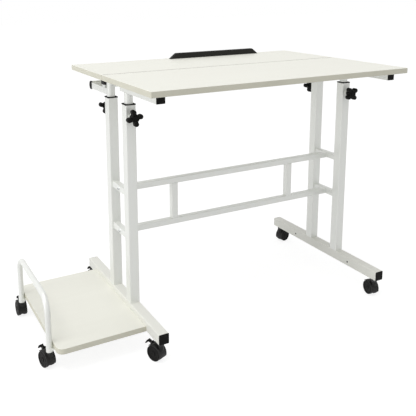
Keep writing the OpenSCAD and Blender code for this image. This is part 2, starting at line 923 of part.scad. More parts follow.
// Side view of everything within a radius of the axle, from the hood's start to its end
// or by an angle short of both
module hood_sector(r, short = 0) {
    from = hood_start + short;
    to = hood_end - short;
    middle = (from + to) / 2;
    intersection() {
        circle(r);
        polygon([
            [0, 0], 2 * r * [cos(from), sin(from)],
            2 * r * [cos(middle), sin(middle)], 2 * r * [cos(to), sin(to)]
        ]);
    }
}

// Side view of the web between the wheels
module web_profile() {
    nose_z = wheel_r + nose_up;
    translate([caster_trail, wheel_r]) {
        circle(wheel_r - web_inset);
        hood_sector(hood_r - hood_t / 2, web_short);
    }
    translate([-web_nose, nose_z]) square([2 * web_nose, caster_h - nose_down - nose_z]);
}

module hood_profile()
    translate([caster_trail, wheel_r]) difference() {
        hood_sector(hood_r);
        circle(hood_r - hood_t);
    }

// Extrudes a side view to the given width, across the caster
module across(width)
    translate([0, width / 2, 0]) rotate([90, 0, 0]) linear_extrude(width) children();

// Room for the two wheels on both sides of the web
module wheel_space() {
    for (side = [-1, 1])
        translate([caster_trail, side * (web_t + hood_w) / 2, wheel_r]) rotate([90, 0, 0])
            cylinder(h = hood_w, r = wheel_r + hood_gap, center = true);
}

// Moulded body of a caster: web, hood, stem boss and the ears of the brake
module caster_housing(braked) {
    color(black_plastic) {
        difference() {
            union() {
                across(web_t) web_profile();
                difference() {
                    union() {
                        across(hood_w) hood_profile();
                        translate([0, 0, boss_z]) cylinder(h = boss_l, r = boss_r);
                        if (braked)
                            across(lever_ear_w) translate([lever_u, lever_z]) circle(lever_ear_r);
                    }
                    wheel_space();
                }
            }
            translate([0, 0, caster_h - pin_l - slide_gap])
                cylinder(h = pin_l + 1, r = swivel_r + running_gap);
            translate([caster_trail, 0, wheel_r]) rotate([90, 0, 0])
                cylinder(h = web_t + 2, r = axle_r + running_gap, center = true);
            if (braked)
                translate([lever_u, 0, lever_z] - (lever_ear_r + lever_room) * [1, 0, 1]
                    - [0, lever_slot / 2, 0])
                    cube([lever_l, lever_slot, lever_l]);
        }
        if (braked)
            translate([lever_u, 0, lever_z]) rotate([90, 0, 0])
                cylinder(h = lever_ear_w, r = lever_pin_r, center = true);
    }
}

// One wheel, its inner face at z = 0
module wheel() {
    difference() {
        rotate_extrude() {
            square([wheel_r - wheel_round, wheel_w]);
            translate([0, wheel_round]) square([wheel_r, wheel_w - 2 * wheel_round]);
            for (z = [wheel_round, wheel_w - wheel_round])
                translate([wheel_r - wheel_round, z]) circle(wheel_round);
        }
        translate([0, 0, wheel_w - dish_depth])
            rotate_extrude() translate([hub_r, 0]) square([dish_w, dish_depth + 1]);
        translate([0, 0, -1]) cylinder(h = wheel_w, r = axle_r + running_gap);
    }
}

// Both wheels on their axle
module wheel_pair() {
    color(black_plastic) translate([caster_trail, 0, wheel_r]) rotate([90, 0, 0]) {
        for (side = [-1, 1])
            mirror([0, 0, side < 0 ? 1 : 0]) translate([0, 0, wheel_gap / 2]) wheel();
        cylinder(h = axle_l, r = axle_r, center = true);
    }
}

// Plate that runs outwards from the Z axis, standing in the middle of its width
module blade(from, to, width)
    translate([from, -lever_t / 2, -width / 2]) cube([to - from, lever_t, width]);

// Brake pedal, hinged on the pin between the housing's ears: an arm that widens
// clear of them and a tab folded down at its end
module brake_pedal() {
    hub_w = lever_slot - 2 * slide_gap;
    lip_w = pedal_w - 2 * pedal_lip_in;
    color(black_plastic) translate([lever_u, 0, lever_z]) rotate([90, 0, 0]) difference() {
        union() {
            cylinder(h = hub_w, r = lever_hub_r, center = true);
            rotate(lever_tilt) {
                blade(0, lever_l, hub_w - 2 * lever_neck_in);
                blade(lever_neck, lever_l, lever_w);
                translate([lever_l, 0, 0]) {
                    cylinder(h = lip_w, r = pedal_lip_r, center = true);
                    rotate(-pedal_fold) {
                        blade(0, pedal_l, pedal_w);
                        translate([pedal_l, 0, 0])
                            cylinder(h = lip_w, r = pedal_lip_r, center = true);
                    }
                }
            }
        }
        cylinder(h = hub_w + 2, r = lever_pin_r + running_gap, center = true);
    }
}

leg(LEFT, FRONT);  // leg_front_left
leg(LEFT, REAR);  // leg_rear_left
leg(RIGHT, FRONT);  // leg_front_right
leg(RIGHT, REAR);  // leg_rear_right
foot_left();
foot_right();
foot_caps();
leg_collars();
crossbars();
stretcher(upper_bar_z);  // stretcher_upper
stretcher(lower_bar_z);  // stretcher_lower
stretcher_uprights();
frame_fasteners();
clamp_nuts();
caster_stems();
side_shelf();
shelf_guard();
front_post(LEFT);  // front_post_left
front_post(RIGHT);  // front_post_right
front_rail(LEFT);  // front_rail_left
front_rail(RIGHT);  // front_rail_right
front_rail_caps();
front_post_glides();
front_board();
front_board_screws();
rear_post(LEFT);  // rear_post_left
rear_post(RIGHT);  // rear_post_right
rear_arm(LEFT);  // rear_arm_left
rear_arm(RIGHT);  // rear_arm_right
rear_post_glides();
rear_post_caps();
rest_pads();
tilt_tube();
tilt_tube_caps();
rear_board();
edge_stop();
tilt_saddles();
tilt_straps();
tilt_screws();
clamp_knob(LEFT, FRONT);  // knob_front_left
clamp_knob(LEFT, REAR);  // knob_rear_left
clamp_knob(RIGHT, FRONT);  // knob_front_right
clamp_knob(RIGHT, REAR);  // knob_rear_right
foot_caster(LEFT, FRONT, turn_front_left) caster_housing(true);  // housing_front_left
foot_caster(LEFT, REAR, turn_rear_left) caster_housing(true);  // housing_rear_left
foot_caster(RIGHT, FRONT, turn_front_right) caster_housing(false);  // housing_front_right
foot_caster(RIGHT, REAR, turn_rear_right) caster_housing(false);  // housing_rear_right
shelf_caster(FRONT, turn_shelf_front) caster_housing(true);  // housing_shelf_front
shelf_caster(REAR, turn_shelf_rear) caster_housing(true);  // housing_shelf_rear
foot_caster(LEFT, FRONT, turn_front_left) wheel_pair();  // wheels_front_left
foot_caster(LEFT, REAR, turn_rear_left) wheel_pair();  // wheels_rear_left
foot_caster(RIGHT, FRONT, turn_front_right) wheel_pair();  // wheels_front_right
foot_caster(RIGHT, REAR, turn_rear_right) wheel_pair();  // wheels_rear_right
shelf_caster(FRONT, turn_shelf_front) wheel_pair();  // wheels_shelf_front
shelf_caster(REAR, turn_shelf_rear) wheel_pair();  // wheels_shelf_rear
foot_caster(LEFT, FRONT, turn_front_left) brake_pedal();  // brake_front_left
foot_caster(LEFT, REAR, turn_rear_left) brake_pedal();  // brake_rear_left
shelf_caster(FRONT, turn_shelf_front) brake_pedal();  // brake_shelf_front
shelf_caster(REAR, turn_shelf_rear) brake_pedal();  // brake_shelf_rear
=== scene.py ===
"""Dresses the mobile standing desk: laminate boards, white steel, knobs and casters."""

import json
import logging
import math
from collections.abc import Callable, Iterable, Sequence
from dataclasses import dataclass, field
from enum import Enum

import bmesh
import bpy
from mathutils import Matrix, Vector


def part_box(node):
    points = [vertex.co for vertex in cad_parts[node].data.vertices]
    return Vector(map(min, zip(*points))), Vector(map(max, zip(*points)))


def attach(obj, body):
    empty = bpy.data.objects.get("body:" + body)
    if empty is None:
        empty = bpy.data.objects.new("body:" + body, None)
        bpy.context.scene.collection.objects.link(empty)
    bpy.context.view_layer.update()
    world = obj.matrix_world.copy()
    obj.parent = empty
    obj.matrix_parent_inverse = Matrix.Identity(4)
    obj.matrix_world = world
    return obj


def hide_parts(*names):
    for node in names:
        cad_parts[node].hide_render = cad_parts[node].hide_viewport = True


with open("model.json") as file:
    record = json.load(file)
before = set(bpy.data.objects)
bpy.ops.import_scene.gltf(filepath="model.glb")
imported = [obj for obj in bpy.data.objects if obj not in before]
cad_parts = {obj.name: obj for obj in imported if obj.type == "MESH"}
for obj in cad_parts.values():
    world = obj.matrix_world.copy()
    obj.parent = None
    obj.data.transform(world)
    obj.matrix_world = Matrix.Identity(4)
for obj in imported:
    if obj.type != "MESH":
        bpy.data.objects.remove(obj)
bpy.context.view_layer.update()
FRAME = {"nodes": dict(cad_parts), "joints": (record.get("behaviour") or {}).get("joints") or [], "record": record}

LOG = logging.getLogger("desk")
MM = 0.001
# Points nearer than this are joined, in a CAD node's mesh and in a turned one
MERGE_WITHIN = 0.001 * MM
WELD_WITHIN = 0.01 * MM
# Faces that turn by less are one flat face
FLAT_ANGLE = math.radians(0.5)
# Edges that turn by more are rounded, and those that still turn by more are shaded sharp
CORNER_ANGLE = math.radians(35.0)
SHARP_ANGLE = math.radians(38.0)
# The least share of a face's normal along the side that it faces
FACING = 0.9
Point = tuple[float, float, float]
Colour = tuple[float, float, float]
Profile = tuple[tuple[float, float], ...]


# Shader maths and nodes


class Signal:
    """A node socket that builds Math nodes when it is used in an expression."""

    def __init__(self, recipe: "Recipe", socket: bpy.types.NodeSocket) -> None:
        """Keeps the socket and the recipe that owns its tree."""
        self.recipe = recipe
        self.socket = socket

    def __add__(self, other: "Signal | float") -> "Signal":
        """Sum."""
        return self.recipe.math("ADD", self, other)

    def __sub__(self, other: "Signal | float") -> "Signal":
        """Difference."""
        return self.recipe.math("SUBTRACT", self, other)

    def __mul__(self, other: "Signal | float") -> "Signal":
        """Product."""
        return self.recipe.math("MULTIPLY", self, other)

    def __rsub__(self, other: float) -> "Signal":
        """A number less this signal."""
        return self.recipe.math("SUBTRACT", other, self)

    __radd__ = __add__

    def clipped(self) -> "Signal":
        """Held between 0 and 1."""
        return self.recipe.node("ShaderNodeClamp", {}, Value=self)


class Recipe:
    """The node tree of one finish."""

    def __init__(self, tree: bpy.types.NodeTree) -> None:
        """Empties the tree, so that only the recipe's own nodes are in it."""
        self.tree = tree
        tree.nodes.clear()

    def node(
        self, kind: str, settings: dict[str, object], output: int | str = 0, **values: object
    ) -> Signal:
        """Adds a node.

        Args:
            kind: The node's type.
            settings: Its properties.
            output: The output to hand back.
            values: Socket values or links, by socket name with _ for a space.

        Returns:
            The chosen output.
        """
        made = self.tree.nodes.new(kind)
        for key, value in settings.items():
            setattr(made, key, value)
        for key, value in values.items():
            self._feed(self._input(made, key), value)
        return Signal(self, made.outputs[output])

    def math(self, operation: str, *terms: Signal | float) -> Signal:
        """Adds a Math node over its terms."""
        made = self.tree.nodes.new("ShaderNodeMath")
        made.operation = operation
        for socket, term in zip(made.inputs, terms):
            self._feed(socket, term)
        return Signal(self, made.outputs[0])

    def end(self, kind: str, surface: Signal) -> None:
        """Ends the tree in an output node of the given type."""
        output = self.tree.nodes.new(kind)
        self.tree.links.new(surface.socket, output.inputs["Surface"])

    def object_point(self) -> Signal:
        """The point on the piece, in its own coordinates."""
        return self.node("ShaderNodeTexCoord", {}, "Object")

    def stretched(self, scale: Point) -> Signal:
        """Object coordinates scaled along each axis."""
        return self.node("ShaderNodeMapping", {}, Vector=self.object_point(), Scale=scale)

    def noise(self, scale: float, detail: float = 2.0, at: Signal | None = None) -> Signal:
        """A noise texture, on object coordinates unless told otherwise."""
        return self.node(
            "ShaderNodeTexNoise", {}, Vector=at or self.object_point(), Scale=scale, Detail=detail
        )

    def ramp(self, source: Signal, low: float, high: float) -> Signal:
        """Maps source from low..high to 0..1, smoothly."""
        return self.node(
            "ShaderNodeMapRange",
            {"interpolation_type": "SMOOTHSTEP"},
            Value=source,
            From_Min=low,
            From_Max=high,
        )

    def along(self, axis: str) -> Signal:
        """The point's place along the X, Y or Z axis, in metres."""
        return self.node("ShaderNodeSeparateXYZ", {}, axis, Vector=self.object_point())

    def blend(self, amount: Signal | float, first: object, second: object) -> Signal:
        """Mixes two colours."""
        made = self.tree.nodes.new("ShaderNodeMix")
        made.data_type = "RGBA"
        for name, value in (("Factor_Float", amount), ("A_Color", first), ("B_Color", second)):
            socket = next(s for s in made.inputs if s.identifier == name)
            self._feed(socket, value)
        return Signal(self, next(s for s in made.outputs if s.identifier == "Result_Color"))

    def bump(self, relief: Signal, depth: float, strength: float) -> Signal:
        """Turns a relief of the given depth, in metres, into a normal."""
        return self.node(
            "ShaderNodeBump", {}, "Normal", Height=relief, Distance=depth, Strength=strength
        )

    def _input(self, made: bpy.types.Node, key: str) -> bpy.types.NodeSocket:
        """Finds an input by its name, or by its number as in in_1."""
        if key.startswith("in_"):
            return made.inputs[int(key[3:])]
        return made.inputs[key.replace("_", " ")]

    def _feed(self, socket: bpy.types.NodeSocket, value: object) -> None:
        """Links or sets a socket."""
        if isinstance(value, Signal):
            self.tree.links.new(value.socket, socket)
        elif isinstance(value, tuple) and socket.type == "RGBA" and len(value) == 3:
            socket.default_value = (*value, 1.0)
        else:
            socket.default_value = value


# Finishes


@dataclass(frozen=True)
class Finish:
    """What all finishes share: a name, a colour and a roughness."""

    name: str
    colour: Colour
    roughness: float

    def material(self) -> bpy.types.Material:
        """Makes the material once and hands back the same one afterwards."""
        made = bpy.data.materials.get(self.name)
        if made is None:
            made = bpy.data.materials.new(self.name)
            made.use_nodes = True
            recipe = Recipe(made.node_tree)
            surface = recipe.node("ShaderNodeBsdfPrincipled", {}, **self.sockets(recipe))
            recipe.end("ShaderNodeOutputMaterial", surface)
        return made

    def sockets(self, recipe: Recipe) -> dict[str, object]:
        """The values of the shader's sockets."""
        return {"Base_Color": self.colour, "Roughness": self.roughness}


@dataclass(frozen=True)
class PowderCoat(Finish):
    """Stove enamel on steel: a fine orange peel and slight unevenness."""

    shade: Colour = (0.815, 0.815, 0.755)
    dust: Colour = (0.72, 0.71, 0.67)
    cloud_scale: float = 9.0
    scuff_scale: float = 60.0
    peel_scale: float = 1400.0
    ripple_scale: float = 420.0
    peel_depth: float = 0.04 * MM
    dust_from: float = 20.0 * MM
    dust_until: float = 110.0 * MM
    gloss: float = 0.45

    def sockets(self, recipe: Recipe) -> dict[str, object]:
        """Orange peel in the normal, cloudiness in colour and roughness."""
        clouds = recipe.ramp(recipe.noise(self.cloud_scale, 3.0), 0.35, 0.68)
        peel = recipe.noise(self.peel_scale, 1.0) + recipe.noise(self.ripple_scale, 1.0) * 0.8
        scuffs = recipe.ramp(recipe.noise(self.scuff_scale, 4.0), 0.62, 0.74)
        floor_dust = 1 - recipe.ramp(recipe.along("Z"), self.dust_from, self.dust_until)
        soiled = (scuffs * 0.18 + floor_dust * 0.25).clipped()
        clean = recipe.blend(clouds * 0.5, self.colour, self.shade)
        return {
            "Base_Color": recipe.blend(soiled, clean, self.dust),
            "Roughness": self.roughness + clouds * 0.06 + scuffs * 0.08,
            "Specular_IOR_Level": self.gloss,
            "Normal": recipe.bump(peel, self.peel_depth, 0.5),
        }


@dataclass(frozen=True)
class ShadedTubeCoat(PowderCoat):
    """The same enamel on a square tube, with painted shade inside its walls where the holes look in."""

    node: str = "foot_left"
    wall: float = 1.2 * MM
    # Painted shade for the tube's hollow, seen through its holes
    hole_shade: Colour = (0.02, 0.02, 0.019)

    def sockets(self, recipe: Recipe) -> dict[str, object]:
        """Painted shade: dark where the point lies between the tube's walls."""
        sockets = super().sockets(recipe)
        shaded_inside = self.within(recipe, "X") * self.within(recipe, "Z")
        sockets["Base_Color"] = recipe.blend(shaded_inside, sockets["Base_Color"], self.hole_shade)
        return sockets

    def within(self, recipe: Recipe, axis: str) -> Signal:
        """1 where the point lies between the two walls across an axis, otherwise 0."""
        low, high = (corner["XYZ".index(axis)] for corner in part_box(self.node))
        reach = (high - low) / 2 - self.wall
        return recipe.math("COMPARE", recipe.along(axis), (high + low) / 2, reach)


@dataclass(frozen=True)
class Laminate(Finish):
    """Melamine face: a faint grain along X over an even off-white."""

    grain: Colour = (0.81, 0.80, 0.72)
    streak_stretch: Point = (1.6, 58.0, 58.0)
    pore_stretch: Point = (34.0, 900.0, 900.0)
    cloud_scale: float = 3.2
    press_depth: float = 0.05 * MM
    gloss: float = 0.4

    def sockets(self, recipe: Recipe) -> dict[str, object]:
        """Long streaks, short pores and a pressed texture."""
        streaks = recipe.noise(1.0, 4.0, recipe.stretched(self.streak_stretch))
        pores = recipe.noise(1.0, 2.0, recipe.stretched(self.pore_stretch))
        clouds = recipe.ramp(recipe.noise(self.cloud_scale, 2.0), 0.4, 0.7)
        tone = recipe.ramp(streaks, 0.36, 0.70) * 0.10 + recipe.ramp(pores, 0.55, 0.78) * 0.08
        return {
            "Base_Color": recipe.blend((tone + clouds * 0.08).clipped(), self.colour, self.grain),
            "Roughness": self.roughness + recipe.ramp(pores, 0.5, 0.8) * 0.12,
            "Specular_IOR_Level": self.gloss,
            "Normal": recipe.bump(pores + streaks * 0.4, self.press_depth, 0.5),
        }


@dataclass(frozen=True)
class ShadedEdgeBand(Finish):
    """Plastic strip ironed onto a board's edges, milled across its length. Its colour, darker than the board's
    face, is painted shade for edges that face away from the light.
    """

    shade: Colour = (0.65, 0.635, 0.52)
    mark_stretch: Point = (260.0, 260.0, 24.0)
    cloud_scale: float = 14.0
    mark_depth: float = 0.03 * MM

    def sockets(self, recipe: Recipe) -> dict[str, object]:
        """Fine mill marks and a slight unevenness."""
        marks = recipe.noise(1.0, 1.0, recipe.stretched(self.mark_stretch))
        clouds = recipe.ramp(recipe.noise(self.cloud_scale), 0.4, 0.65)
        return {
            "Base_Color": recipe.blend(clouds * 0.3, self.colour, self.shade),
            "Roughness": self.roughness + marks * 0.08,
            "Normal": recipe.bump(marks, self.mark_depth, 0.4),
        }


@dataclass(frozen=True)
class BareCoreSeamShade(Finish):
    """Chipboard without its strip, where the two boards meet, much darker than chipboard: partly painted shade for
    the gap between the boards.
    """

    pale_chip: Colour = (0.24, 0.20, 0.15)
    chip_scale: float = 700.0
    chip_depth: float = 0.2 * MM
    gloss: float = 0.2

    def sockets(self, recipe: Recipe) -> dict[str, object]:
        """Chips of several browns and a rough surface."""
        chips = recipe.ramp(recipe.noise(self.chip_scale, 4.0), 0.35, 0.65)
        return {
            "Base_Color": recipe.blend(chips, self.colour, self.pale_chip),
            "Roughness": self.roughness,
            "Specular_IOR_Level": self.gloss,
            "Normal": recipe.bump(chips, self.chip_depth, 0.6),
        }


@dataclass(frozen=True)
class Moulding(Finish):
    """Injection moulded plastic with a spark-eroded texture."""

    grain: float = 1500.0
    worn: Colour = (0.022, 0.022, 0.021)
    gloss: float = 0.10
    patch_scale: float = 75.0
    stipple_depth: float = 0.06 * MM

    def sockets(self, recipe: Recipe) -> dict[str, object]:
        """Stipple in the normal, rubbed patches that are paler and smoother."""
        stipple = recipe.noise(self.grain, 2.0)
        rubbed = recipe.ramp(recipe.noise(self.patch_scale, 5.0), 0.55, 0.72)
        return {
            "Base_Color": recipe.blend(rubbed * 0.4, self.colour, self.worn),
            "Roughness": self.roughness + stipple * 0.10 - rubbed * 0.08,
            "Specular_IOR_Level": self.gloss,
            "Normal": recipe.bump(stipple, self.stipple_depth, 0.6),
        }


@dataclass(frozen=True)
class Tread(Finish):
    """Running surface of a wheel, with the dust that it picks up."""

    dust: Colour = (0.13, 0.125, 0.115)
    speck_scale: float = 520.0
    patch_scale: float = 90.0
    grit_scale: float = 900.0
    grit_depth: float = 0.08 * MM

    def sockets(self, recipe: Recipe) -> dict[str, object]:
        """Dust in fine specks, and a rubbed, uneven sheen."""
        specks = recipe.ramp(recipe.noise(self.speck_scale, 3.0), 0.52, 0.70)
        patches = recipe.ramp(recipe.noise(self.patch_scale, 3.0), 0.45, 0.65)
        return {
            "Base_Color": recipe.blend(specks * patches * 0.5, self.colour, self.dust),
            "Roughness": self.roughness + patches * 0.18,
            "Normal": recipe.bump(recipe.noise(self.grit_scale, 2.0), self.grit_depth, 0.5),
        }


@dataclass(frozen=True)
class Plated(Finish):
    """Zinc plating: a cool metal with a crystalline mottling."""

    bloom: Colour = (0.48, 0.50, 0.50)
    crystal_scale: float = 380.0
    crystal_depth: float = 0.02 * MM

    def sockets(self, recipe: Recipe) -> dict[str, object]:
        """Mottled colour and roughness over a metal."""
        mottle = recipe.noise(self.crystal_scale, 3.0)
        return {
            "Base_Color": recipe.blend(mottle * 0.6, self.colour, self.bloom),
            "Metallic": 1.0,
            "Roughness": self.roughness + mottle * 0.16,
            "Normal": recipe.bump(mottle, self.crystal_depth, 0.4),
        }


ENAMEL_WHITE: Colour = (0.862, 0.862, 0.806)
WHITE_STEEL = PowderCoat("white_steel", ENAMEL_WHITE, 0.40)
FOOT_LEFT_SHADED_COAT = ShadedTubeCoat("foot_left_coat_hole_shade", ENAMEL_WHITE, 0.40, node="foot_left")
FOOT_RIGHT_SHADED_COAT = ShadedTubeCoat("foot_right_coat_hole_shade", ENAMEL_WHITE, 0.40, node="foot_right")
BOARD_FACE = Laminate("board_face", (0.875, 0.872, 0.795), 0.46)
# Painted shade: the edge strip is a darker copy of the face's white
BOARD_EDGE_SHADED = ShadedEdgeBand("board_edge_painted_shade", (0.73, 0.715, 0.60), 0.46)
# Partly painted shade: the seam's faces are darkened to show the gap between the boards
BOARD_CORE_SHADED = BareCoreSeamShade("board_core_seam_shade", (0.13, 0.11, 0.085), 0.85)
BLACK_MOULDING = Moulding("black_moulding", (0.007, 0.007, 0.0065), 0.55)
# Paler than the other black mouldings: painted highlight for the bar's lit faces
STOP_MOULDING_LIT = Moulding("stop_moulding_painted_highlight", (0.024, 0.024, 0.022), 0.50)
HOOD_MOULDING = Moulding("hood_moulding", (0.012, 0.012, 0.0115), 0.42, 1200.0, gloss=0.24)
WHEEL_DISC = Moulding("wheel_disc", (0.006, 0.006, 0.0055), 0.48, 1700.0)
WHEEL_TREAD = Tread("wheel_tread", (0.011, 0.011, 0.011), 0.60)
PAD_RUBBER = Moulding("pad_rubber", (0.012, 0.012, 0.012), 0.70, 900.0)
ZINC = Plated("zinc", (0.62, 0.63, 0.63), 0.30)
DARK_ZINC = Plated("dark_zinc", (0.045, 0.045, 0.047), 0.42, (0.08, 0.08, 0.085))


class Slot(Enum):
    """The record's material slots."""

    WHITE_STEEL = "white_steel"
    BOARD = "board"
    BLACK_PLASTIC = "black_plastic"
    WHEEL_PLASTIC = "wheel_plastic"
    PAD_RUBBER = "pad_rubber"
    ZINC_STEEL = "zinc_steel"


# Making pieces


class Bench:
    """A mesh in the making, with the steps that shape it."""

    def __init__(self, name: str) -> None:
        """Starts an empty mesh under the piece's name."""
        self.name = name
        self.mesh = bmesh.new()

    def block(self, low: Iterable[float], high: Iterable[float]) -> list[bmesh.types.BMVert]:
        """Adds a box between two corners.

        Args:
            low: Its lowest corner.
            high: Its highest corner.

        Returns:
            Its vertices.
        """
        low, high = Vector(low), Vector(high)
        place = Matrix.LocRotScale((low + high) / 2, None, high - low)
        return bmesh.ops.create_cube(self.mesh, size=1.0, matrix=place)["verts"]

    def edges_of(
        self, verts: Iterable[bmesh.types.BMVert], wanted: Callable[[bmesh.types.BMEdge], bool]
    ) -> list[bmesh.types.BMEdge]:
        """The edges between the given vertices that pass a test."""
        members = set(verts)
        found = {edge for vert in members for edge in vert.link_edges}
        return [e for e in found if set(e.verts) <= members and wanted(e)]

    def round_edges(
        self, edges: Sequence[bmesh.types.BMEdge], radius: float, segments: int
    ) -> None:
        """Rounds edges to a radius."""
        bmesh.ops.bevel(
            self.mesh,
            geom=list(edges),
            offset=radius,
            offset_type="OFFSET",
            affect="EDGES",
            segments=segments,
            profile=0.5,
            material=-1,
            clamp_overlap=True,
        )

    def round_sharp(self, radius: float, segments: int) -> None:
        """Rounds every edge that turns by more than the corner angle."""
        closed = [e for e in self.mesh.edges if len(e.link_faces) == 2]
        sharp = [e for e in closed if e.calc_face_angle() > CORNER_ANGLE]
        self.round_edges(sharp, radius, segments)

    def turned(
        self, profile: Sequence[tuple[float, float]], steps: int = 48
    ) -> set[bmesh.types.BMFace]:
        """Spins a profile of (radius, height) a full turn about the Z axis.

        Args:
            profile: The points, from pole to pole.
            steps: How many steps the turn has.

        Returns:
            The new faces.
        """
        verts = [self.mesh.verts.new((r, 0.0, z)) for r, z in profile]
        edges = [self.mesh.edges.new(pair) for pair in zip(verts, verts[1:])]
        bmesh.ops.spin(
            self.mesh,
            geom=verts + edges,
            cent=(0.0, 0.0, 0.0),
            axis=(0.0, 0.0, 1.0),
            angle=2 * math.pi,
            steps=steps,
            use_merge=True,
        )
        whole = self._linked({v for v in verts if v.is_valid})
        bmesh.ops.remove_doubles(self.mesh, verts=list(whole), dist=WELD_WITHIN)
        return {face for vert in whole if vert.is_valid for face in vert.link_faces}

    def _linked(self, seeds: set[bmesh.types.BMVert]) -> set[bmesh.types.BMVert]:
        """All vertices that hang together with the seeds."""
        seen, ahead = set(seeds), list(seeds)
        while ahead:
            for edge in ahead.pop().link_edges:
                for vert in edge.verts:
                    if vert not in seen:
                        seen.add(vert)
                        ahead.append(vert)
        return seen

    def take_node(self, node: str) -> None:
        """Starts from a merged copy of a CAD node, its flat faces made whole."""
        self.mesh.from_mesh(FRAME["nodes"][node].data)
        bmesh.ops.remove_doubles(self.mesh, verts=self.mesh.verts[:], dist=MERGE_WITHIN)
        bmesh.ops.dissolve_limit(
            self.mesh,
            angle_limit=FLAT_ANGLE,
            use_dissolve_boundaries=False,
            verts=self.mesh.verts[:],
            edges=self.mesh.edges[:],
            delimit={"NORMAL"},
        )

    def move(self, place: Matrix) -> None:
        """Moves the whole mesh."""
        bmesh.ops.transform(self.mesh, matrix=place, verts=self.mesh.verts[:])

    def dress(
        self,
        body: str,
        finishes: Sequence[Finish],
        stands_for: Sequence[str],
        choose: Callable[[bmesh.types.BMFace], int] | None = None,
    ) -> None:
        """Makes the object, gives it its finishes and lets it ride on its body.

        Args:
            body: The CAD body that carries the piece.
            finishes: Its finishes, the first of which is the usual one.
            stands_for: The CAD nodes that it replaces.
            choose: Says which finish a face has, where there are several.
        """
        bmesh.ops.recalc_face_normals(self.mesh, faces=self.mesh.faces[:])
        for face in self.mesh.faces:
            face.smooth = True
            face.material_index = choose(face) if choose else 0
        data = bpy.data.meshes.new(self.name)
        self.mesh.to_mesh(data)
        self.mesh.free()
        for finish in finishes:
            data.materials.append(finish.material())
        data.set_sharp_from_angle(angle=SHARP_ANGLE)
        piece = bpy.data.objects.new(self.name, data)
        bpy.context.scene.collection.objects.link(piece)
        weighted = piece.modifiers.new("even_shading", "WEIGHTED_NORMAL")
        weighted.keep_sharp = True
        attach(piece, body)
        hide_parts(*stands_for)
        LOG.info("%s: %d faces on %s", self.name, len(data.polygons), body)


def joint_named(name: str) -> dict[str, object]:
    """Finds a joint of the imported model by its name."""
    return next(j for j in FRAME["joints"] if j["name"] == name)


def rise(edge: bmesh.types.BMEdge) -> float:
    """The difference in height between an edge's two ends, in metres."""
    first, second = edge.verts
    return abs(first.co.z - second.co.z)


def on_axis(joint_name: str, across: Vector, up: Vector) -> Matrix:
    """The matrix from a turned piece's own axis, in mm, to a joint's place.

    Args:
        joint_name: The joint whose axis becomes the piece's Z axis.
        across: Where the piece's X axis points.
        up: Where its Y axis points.

    Returns:
        The piece's place, with its millimetres made metres.
    """
    joint = joint_named(joint_name)
    turned = Matrix((across, up, Vector(joint["axis"]))).transposed().to_4x4()
    return Matrix.Translation(Vector(joint["pos_m"])) @ turned @ Matrix.Scale(MM, 4)


# Boards


@dataclass
class Boards:
    """The two table boards and the side shelf: laminate faces and banded edges."""

    edge_radius: float = 1.1 * MM
    corner_radius: float = 2.0 * MM
    shelf_radius: float = 20.0 * MM
    # A face with less of its normal along Z is on the edge strip
    band_limit: float = 0.5
    # An edge that rises by less lies level
    level: float = 0.01 * MM
    # An edge that rises by more stands upright
    upright: float = 1.0 * MM

    def build(self) -> None:
        """Makes the three boards."""
        self.board("front_board_laminate", "front_board", "front_tier", seam=1)
        self.board("rear_board_laminate", "rear_board", "tilting_board", seam=-1)
        self.board("side_shelf_laminate", "side_shelf", "base", rounded_left=True)

    def board(
        self, name: str, node: str, body: str, rounded_left: bool = False, seam: int = 0
    ) -> None:
        """Makes one board in the box of its CAD node.

        Args:
            name: The piece's name.
            node: The CAD node that it stands for.
            body: The body that carries it.
            rounded_left: Whether the two corners at -X have the shelf's large radius.
            seam: The side along Y on which it meets the other board, or 0.
        """
        low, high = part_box(node)
        bench = Bench(name)
        verts = bench.block(low, high)
        middle = (low + high) / 2
        uprights = bench.edges_of(verts, lambda e: rise(e) > self.upright)
        if rounded_left:
            uprights = [e for e in uprights if e.verts[0].co.x < middle.x]
        radius = self.shelf_radius if rounded_left else self.corner_radius
        bench.round_edges(uprights, radius, 10 if rounded_left else 4)
        rims = [e for e in bench.mesh.edges if rise(e) < self.level]
        if seam < 0:
            rims = [e for e in rims if max(v.co.y for v in e.verts) > low.y + self.level]
        bench.round_edges(rims, self.edge_radius, 3)
        bench.dress(
            body,
            (BOARD_FACE, BOARD_EDGE_SHADED, BOARD_CORE_SHADED),
            (node,),
            lambda face: self.side(face, seam),
        )

    def side(self, face: bmesh.types.BMFace, seam: int) -> int:
        """Which finish a face has: 0 on the laminate, 1 on the strip, 2 at the seam; the strip and the seam carry
        painted shade.
        """
        if seam and face.normal.y * seam > FACING:
            return 2
        return int(abs(face.normal.z) < self.band_limit)


@dataclass
class StopBar:
    """The bar that keeps papers on the tilting board."""

    edge_radius: float = 1.2 * MM

    def build(self) -> None:
        """Softens the edges of the bar's own solid."""
        bench = Bench("stop_bar")
        bench.take_node("edge_stop")
        bench.round_sharp(self.edge_radius, 3)
        bench.dress("tilting_board", (STOP_MOULDING_LIT,), ("edge_stop",))


# Small mouldings


@dataclass(frozen=True)
class Trim:
    """One small moulding: its name, the node it stands for and what carries it."""

    name: str
    node: str
    body: str
    slot: Slot = Slot.BLACK_PLASTIC
    finish: Finish = BLACK_MOULDING


